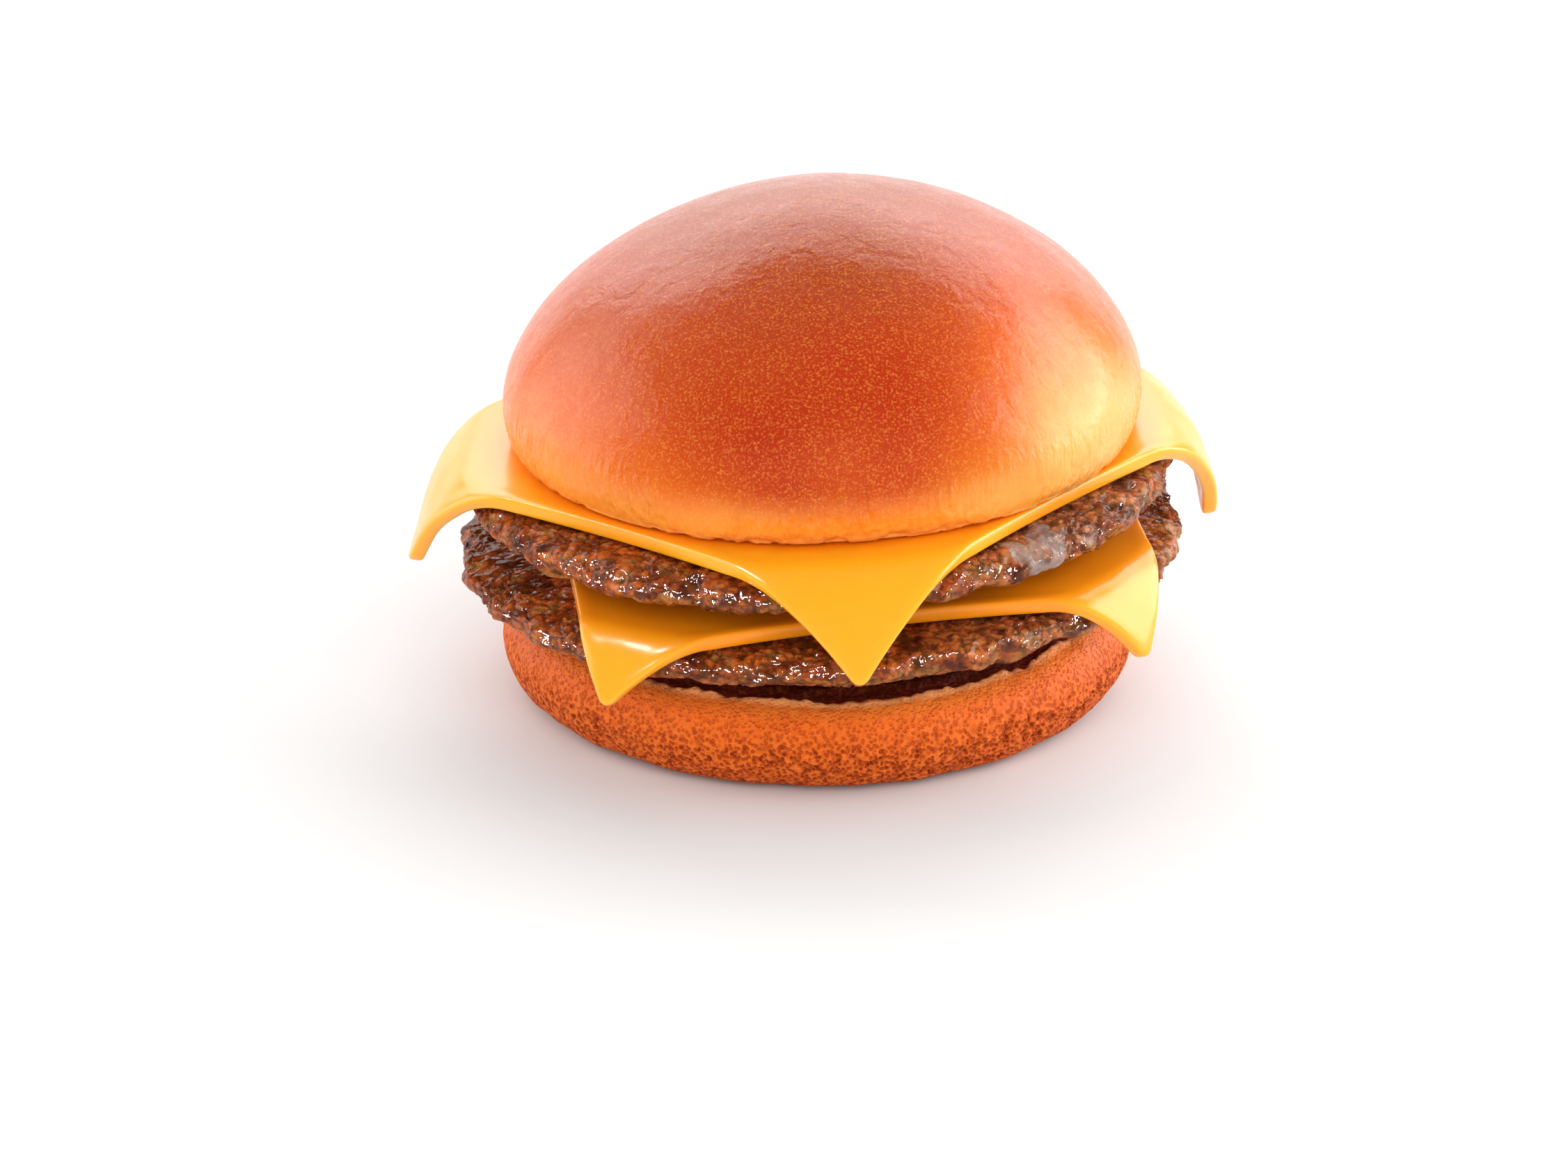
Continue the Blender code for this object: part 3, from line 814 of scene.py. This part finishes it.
LOWER_CORNERS = (
    {"at": -121.0, "out": 68.6 * MM, "bend": 5.5 * MM, "slope": 78.0},
    {"at": -36.5, "out": 68.4 * MM, "bend": 5.5 * MM, "slope": 81.0},
    {"at": 47.1, "out": 65.7 * MM, "bend": 6.5 * MM, "slope": 70.0},
    {"at": 146.2, "out": 56.7 * MM, "bend": 6.5 * MM, "slope": 70.0},
)
LOWER_BOWS = (5.0 * MM, 1.5 * MM, 1.5 * MM, 1.5 * MM)
UPPER_CORNERS = (
    {"at": -84.6, "out": 74.0 * MM, "bend": 6.0 * MM, "slope": 73.0},
    {"at": 6.8, "out": 76.0 * MM, "bend": 6.0 * MM, "slope": 85.0},
    {"at": 96.0, "out": 70.0 * MM, "bend": 6.0 * MM, "slope": 71.0},
    {"at": 185.3, "out": 75.0 * MM, "bend": 5.5 * MM, "slope": 77.0},
)
UPPER_BOWS = (4.6 * MM, 2.5 * MM, 2.5 * MM, 4.0 * MM)
SLICE_ROUND = 0.05
SLICE_HALF = 48 * MM


def spread_sheet(square, corners, bows):
    """Stretches the square from -1 to 1 between four corners, each side drawn in by its bow at its middle."""
    part = (square + 1) / 2
    across, along = part[..., :1], part[..., 1:2]
    tips = [
        c["out"] * np.array([math.cos(math.radians(c["at"])), math.sin(math.radians(c["at"]))])
        for c in corners
    ]
    near = tips[0] * (1 - across) + tips[1] * across
    far = tips[3] * (1 - across) + tips[2] * across
    sheet = near * (1 - along) + far * along
    sides = [
        (tips[0], tips[1], across, 1 - along),
        (tips[1], tips[2], along, across),
        (tips[2], tips[3], 1 - across, along),
        (tips[3], tips[0], 1 - along, 1 - across),
    ]
    for bow, (start, end, t, weight) in zip(bows, sides):
        run = (end - start) / np.linalg.norm(end - start)
        sheet = sheet + bow * 4 * t * (1 - t) * weight * np.array([-run[1], run[0]])
    return sheet


def draped(sheet, base, radius, seed, corners, lets_go):
    """Lays a level sheet over a patty: flat to near its edge, then bending down by ever less to a slope.

    The tilt after a distance s is slope x (1 - e^(-s / bend)), summed in short steps to get reach and drop.
    The distance from the axis is kept as distance along the sheet, and values between corners are blended.
    """
    angle = np.arctan2(sheet[..., 1], sheet[..., 0])
    along = np.hypot(sheet[..., 0], sheet[..., 1])
    weights = np.array([np.clip(np.cos(angle - math.radians(c["at"])), 0.02, 1) ** 4 for c in corners])
    weights /= weights.sum(axis=0)
    bend = sum(w * c["bend"] for w, c in zip(weights, corners))
    slope = sum(w * math.radians(c["slope"]) for w, c in zip(weights, corners))
    edge = patty_outline(angle, radius, seed) - lets_go
    past = np.maximum(along - edge, 0.0)
    reach = np.minimum(along, edge)
    drop = np.zeros_like(reach)
    steps = 24
    for step in range(steps):
        tilt = slope * (1 - np.exp(-past * (step + 0.5) / steps / bend))
        reach = reach + past / steps * np.cos(tilt)
        drop = drop + past / steps * np.sin(tilt)
    return np.stack([reach * np.cos(angle), reach * np.sin(angle), base - drop], axis=-1), past


def slice_knots(cells, near_edge):
    """Places from -1 to 1 across a slice, close together by its edges where the thickness rounds off."""
    inner = np.linspace(-1 + near_edge[-1], 1 - near_edge[-1], cells)
    edge = np.array(near_edge[:-1])
    return np.concatenate([-1 + edge, inner, (1 - edge)[::-1]])


def slice_surface(corners, bows, base, radius, seed, covered, cheese, stack):
    """A slab: middle sheet plus and minus half its thickness along the normal, rounded off at its edge.

    Its part that lies covered, up to a distance from the axis, is marked for painted shade in a deeper
    orange.
    """
    near_edge = tuple(x / SLICE_HALF * MM for x in (0, 0.015, 0.05, 0.12, 0.25, 0.5, 0.9, 1.4))
    knots = slice_knots(SLICE_CELLS, near_edge)
    v, u = np.meshgrid(knots, knots)
    square = np.stack([u, v], axis=-1)
    over = np.maximum(np.abs(square) - 1 + SLICE_ROUND, 0.0)
    long = np.hypot(over[..., 0], over[..., 1])
    both = (over > 0).all(axis=-1)
    shrink = np.where(both, np.max(over, axis=-1) / np.maximum(long, 1e-9), 1.0)
    from_edge = np.where(both, SLICE_ROUND - long * shrink, 1 - np.abs(square).max(axis=-1)) * SLICE_HALF
    inner = np.minimum(np.abs(square), 1 - SLICE_ROUND)
    square = np.sign(square) * (inner + over * shrink[..., None])
    sheet = spread_sheet(square, corners, bows)
    middle, past = draped(sheet, base + stack.slice_thick / 2, radius, seed, corners, cheese.lets_go)
    normals = np.cross(np.gradient(middle, axis=0), np.gradient(middle, axis=1))
    normals /= np.linalg.norm(normals, axis=-1, keepdims=True)
    hanging = smooth_step(past / (12 * MM))
    wave = cheese.ripple * Grain(seed + 40)(middle, 13 * MM) * hanging
    wave = wave + 0.12 * MM * Grain(seed + 41)(middle, 6 * MM) * smooth_step(past / (2 * MM))
    middle = middle + normals * wave[..., None]
    round_edge = cheese.round_edge
    part = np.clip(from_edge / round_edge, 0, 1)
    half = stack.slice_thick / 2 * (1 - (1 - part) ** 3.5) ** (1 / 3.5)
    half = half * (1 + 0.10 * np.exp(-((from_edge - 1.6 * MM) / (1.2 * MM)) ** 2))
    top = leaned(middle + normals * half[..., None], stack.lean)
    foot = leaned(middle - normals * half[..., None], stack.lean)
    # The rim mark is a painted glow: thin edges, most where they hang, are painted paler
    rim = smooth_step((5 * MM - from_edge) / (5 * MM)) * (0.35 + 0.65 * hanging)
    along = np.hypot(sheet[..., 0], sheet[..., 1])
    # Painted shade where the slice lies under the layer above
    warmed = 1 - smooth_step((along - covered) / (5 * MM))
    return top, foot, rim, warmed


def slab_piece(name, top, foot, finish, marks):
    """A closed slab whose two grids share their outermost points."""
    size = top.shape[0]
    index = np.arange(size * size).reshape(size, size)
    inside = np.zeros((size, size), dtype=bool)
    inside[1:-1, 1:-1] = True
    below = index.copy()
    below[inside] = size * size + np.arange(inside.sum())
    points = np.concatenate([top.reshape(-1, 3), foot[inside]])
    faces = []
    for grid, order in ((index, 1), (below, -1)):
        quads = np.stack([grid[:-1, :-1], grid[1:, :-1], grid[1:, 1:], grid[:-1, 1:]], axis=-1)
        faces += quads.reshape(-1, 4)[:, ::order].tolist()
    marks = {mark: np.concatenate([values.ravel(), values[inside]]) for mark, values in marks.items()}
    return make_piece(name, points, faces, finish, marks)


# Operators


def dress(piece, node):
    """The piece stands in for its CAD node, which is hidden, and stays with the burger's one body."""
    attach(piece, "root")
    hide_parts(node)


class BURGER_OT_heel(bpy.types.Operator):
    """Make the bun's heel"""

    bl_idname = "burger.heel"
    bl_label = "Heel"

    def execute(self, context):
        bun = context.scene.burger_bun
        stack = context.scene.burger_stack
        points, rise, pores, shine = heel_surface(bun, stack)
        marks = {"rise": rise, "pore": pores * 0.72, "shine": shine}
        piece = turned_piece("heel_crust", points, porous_crust(bun), marks)
        dress(piece, "heel")
        return {"FINISHED"}


class BURGER_OT_patties(bpy.types.Operator):
    """Make the two beef patties"""

    bl_idname = "burger.patties"
    bl_label = "Patties"

    def execute(self, context):
        beef = context.scene.burger_beef
        stack = context.scene.burger_stack
        bases = layer_bases(stack)
        finish = seared_beef(beef)
        patches = {
            "lower_patty": ((0.0, -0.2, 0.0), 1 * MM),
            "upper_patty": ((35.5 * MM, -41 * MM, 37.5 * MM), 6.5 * MM),
        }
        for node, radius, thick, lift, seed in (
            ("lower_patty", beef.lower_radius, stack.lower_patty, beef.lower_lift, LOWER_SEED),
            ("upper_patty", beef.upper_radius, stack.upper_patty, beef.upper_lift, UPPER_SEED),
        ):
            points, crevice, rise, lot, steam = patty_surface(
                radius, bases[node], thick, lift, seed, beef, stack
            )
            place, size = patches[node]
            fat = fat_patch(points, np.array(place), size, seed + 9) * (1 - 0.5 * crevice)
            pale = 0.7 * fat
            marks = {"crevice": crevice * (1 - pale), "rise": rise, "fat": pale, "lot": lot, "steam": steam}
            piece = turned_piece(node.replace("patty", "beef"), points, finish, marks)
            dress(piece, node)
        return {"FINISHED"}


class BURGER_OT_slices(bpy.types.Operator):
    """Make the two cheese slices"""

    bl_idname = "burger.slices"
    bl_label = "Slices"

    def execute(self, context):
        beef = context.scene.burger_beef
        cheese = context.scene.burger_cheese
        stack = context.scene.burger_stack
        bases = layer_bases(stack)
        finish = melting_cheese(cheese)
        for node, corners, bows, radius, seed, covered in (
            ("lower_slice", LOWER_CORNERS, LOWER_BOWS, beef.lower_radius, LOWER_SEED, 54 * MM),
            ("upper_slice", UPPER_CORNERS, UPPER_BOWS, beef.upper_radius, UPPER_SEED, 46.5 * MM),
        ):
            top, foot, rim, warmed = slice_surface(
                corners, bows, bases[node], radius, seed, covered, cheese, stack
            )
            marks = {"rim": rim, "warmed": warmed}
            piece = slab_piece(node.replace("slice", "cheese"), top, foot, finish, marks)
            dress(piece, node)
        return {"FINISHED"}


class BURGER_OT_crown(bpy.types.Operator):
    """Make the bun's crown"""

    bl_idname = "burger.crown"
    bl_label = "Crown"

    def execute(self, context):
        bun = context.scene.burger_bun
        points, bake, ember, pleat = crown_surface(bun, context.scene.burger_stack)
        marks = {"bake": bake, "ember": ember, "pleat": pleat}
        piece = turned_piece("crown_crust", points, glazed_crust(bun), marks)
        dress(piece, "crown")
        return {"FINISHED"}


def soft_box(name, place, size, radiance, tint=(1.0, 1.0, 1.0)):
    """A rectangle of light aimed at the burger's middle, as bright per area as its radiance says."""
    light = bpy.data.lights.new(name, "AREA")
    light.shape = "RECTANGLE"
    light.size, light.size_y = size
    light.energy = radiance * math.pi * size[0] * size[1]
    light.color = tint
    lamp = bpy.data.objects.new(name, light)
    bpy.context.scene.collection.objects.link(lamp)
    aim = Vector((0, 0, LAMP_AIM)) - Vector(place)
    lamp.matrix_world = Matrix.Translation(place) @ aim.to_track_quat("-Z", "Y").to_matrix().to_4x4()
    lamp.visible_camera = False
    return lamp


def around(azimuth, elevation, distance):
    """A place by its bearing from the back, clockwise, its elevation and its distance from the burger."""
    a = math.radians(azimuth)
    e = math.radians(elevation)
    return (
        distance * math.cos(e) * math.sin(a),
        distance * math.cos(e) * math.cos(a),
        LAMP_AIM + distance * math.sin(e),
    )


# Lamps for the gloss of some pieces alone: the end of the pieces' names, a side, a bearing, an elevation,
# a size and a radiance
GLINTS = (
    ("_beef", "left", -124, 11, (0.20, 0.20), 170),
    ("_beef", "front_left", -157, 13, (0.18, 0.18), 170),
    ("_beef", "front", -168, 30, (0.15, 0.15), 170),
    ("_beef", "right", 130, 14, (0.16, 0.16), 130),
    ("upper_cheese", "left", -90, 55, (0.28, 0.24), 28),
    ("lower_cheese", "left", -86, 61, (0.05, 0.06), 120),
    ("lower_cheese", "front_left", -138, 40, (0.04, 0.06), 110),
)


class BURGER_OT_stage(bpy.types.Operator):
    """Make the floor, the lights and the camera"""

    bl_idname = "burger.stage"
    bl_label = "Studio"

    def execute(self, context):
        studio = context.scene.burger_studio
        scene = context.scene
        bpy.ops.mesh.primitive_plane_add(size=12.0)
        floor = context.object
        floor.name = "studio_floor"
        made, tree, shader = blank_material("matte_paper_sweep")
        paper = {"Base Color": (*studio.floor, 1.0), "Roughness": 0.9, "Specular IOR Level": 0.2}
        set_inputs(tree, shader, paper)
        floor.data.materials.append(made)

        world = bpy.data.worlds.new("studio_air")
        world.use_nodes = True
        strength = studio.strength
        air = {"Color": (1.0, 0.985, 0.96, 1.0), "Strength": 0.34 * strength}
        set_inputs(world.node_tree, world.node_tree.nodes["Background"], air)
        scene.world = world
        soft_box("back_wall", around(0, 38, 1.3), (1.8, 0.90), 3.2 * strength)
        soft_box("back_foot", around(-4, 7, 1.3), (1.9, 0.50), 1.4 * strength)
        soft_box("right_box", around(80, 22, 0.9), (1.0, 0.7), 3.6 * strength, (1.0, 0.985, 0.96))
        soft_box("right_sheen", around(76, 22, 0.9), (0.9, 0.7), 2.4 * strength).visible_diffuse = False
        soft_box("left_box", around(-75, 15, 0.9), (0.85, 0.75), 2.6 * strength, (1.0, 0.97, 0.93))
        soft_box("front_fill", around(180, 27, 1.3), (1.9, 1.0), 2.3 * strength).visible_glossy = False
        for finish, side, bearing, elevation, size, radiance in GLINTS:
            wet = bpy.data.collections.new(side + "_" + finish + "_takers")
            for piece in scene.objects:
                if piece.name.endswith(finish):
                    wet.objects.link(piece)
            place = around(bearing, elevation, 0.8)
            lamp = soft_box(side + finish + "_glint", place, size, radiance * strength)
            lamp.visible_diffuse = False
            lamp.light_linking.receiver_collection = wet

        eye = bpy.data.cameras.new("photo_camera")
        eye.lens = 200.0
        eye.sensor_width = 36.0
        eye.clip_start = 0.05
        eye.clip_end = 30.0
        camera = bpy.data.objects.new("photo_camera", eye)
        scene.collection.objects.link(camera)
        width, height = 2253, 1652
        origin_x, origin_y = 1175, 966
        focal = eye.lens / eye.sensor_width * width
        right = Vector((1, 0, 0))
        up = Vector((0, math.sin(studio.elevation), math.cos(studio.elevation)))
        forward = Vector((0, math.cos(studio.elevation), -math.sin(studio.elevation)))
        place = -studio.distance * forward
        place -= right * (origin_x - width / 2) / focal * studio.distance
        place += up * (origin_y - height / 2) / focal * studio.distance
        turn = Matrix((right, up, -forward)).transposed().to_4x4()
        camera.matrix_world = Matrix.Translation(place) @ turn
        scene.camera = camera
        scene.view_settings.view_transform = "Standard"
        return {"FINISHED"}


class BURGER_PT_panel(bpy.types.Panel):
    """Lists the burger's pieces in the order that they are stacked"""

    bl_idname = "BURGER_PT_panel"
    bl_label = "Double Cheeseburger"
    bl_space_type = "VIEW_3D"
    bl_region_type = "UI"
    bl_category = "Burger"

    def draw(self, context):
        column = self.layout.column()
        for made in STEPS:
            column.operator(made.bl_idname)


STEPS = (BURGER_OT_heel, BURGER_OT_patties, BURGER_OT_slices, BURGER_OT_crown, BURGER_OT_stage)
GROUPS = {
    "burger_stack": StackSettings,
    "burger_bun": BunSettings,
    "burger_beef": BeefSettings,
    "burger_cheese": CheeseSettings,
    "burger_studio": StudioSettings,
}


def register():
    for made in (*GROUPS.values(), *STEPS, BURGER_PT_panel):
        bpy.utils.register_class(made)
    for name, group in GROUPS.items():
        setattr(bpy.types.Scene, name, PointerProperty(type=group))


def unregister():
    for name in GROUPS:
        delattr(bpy.types.Scene, name)
    for made in reversed((*GROUPS.values(), *STEPS, BURGER_PT_panel)):
        bpy.utils.unregister_class(made)


def main():
    register()
    bpy.ops.burger.heel()
    bpy.ops.burger.patties()
    bpy.ops.burger.slices()
    bpy.ops.burger.crown()
    bpy.ops.burger.stage()


if __name__ == "__main__":
    main()
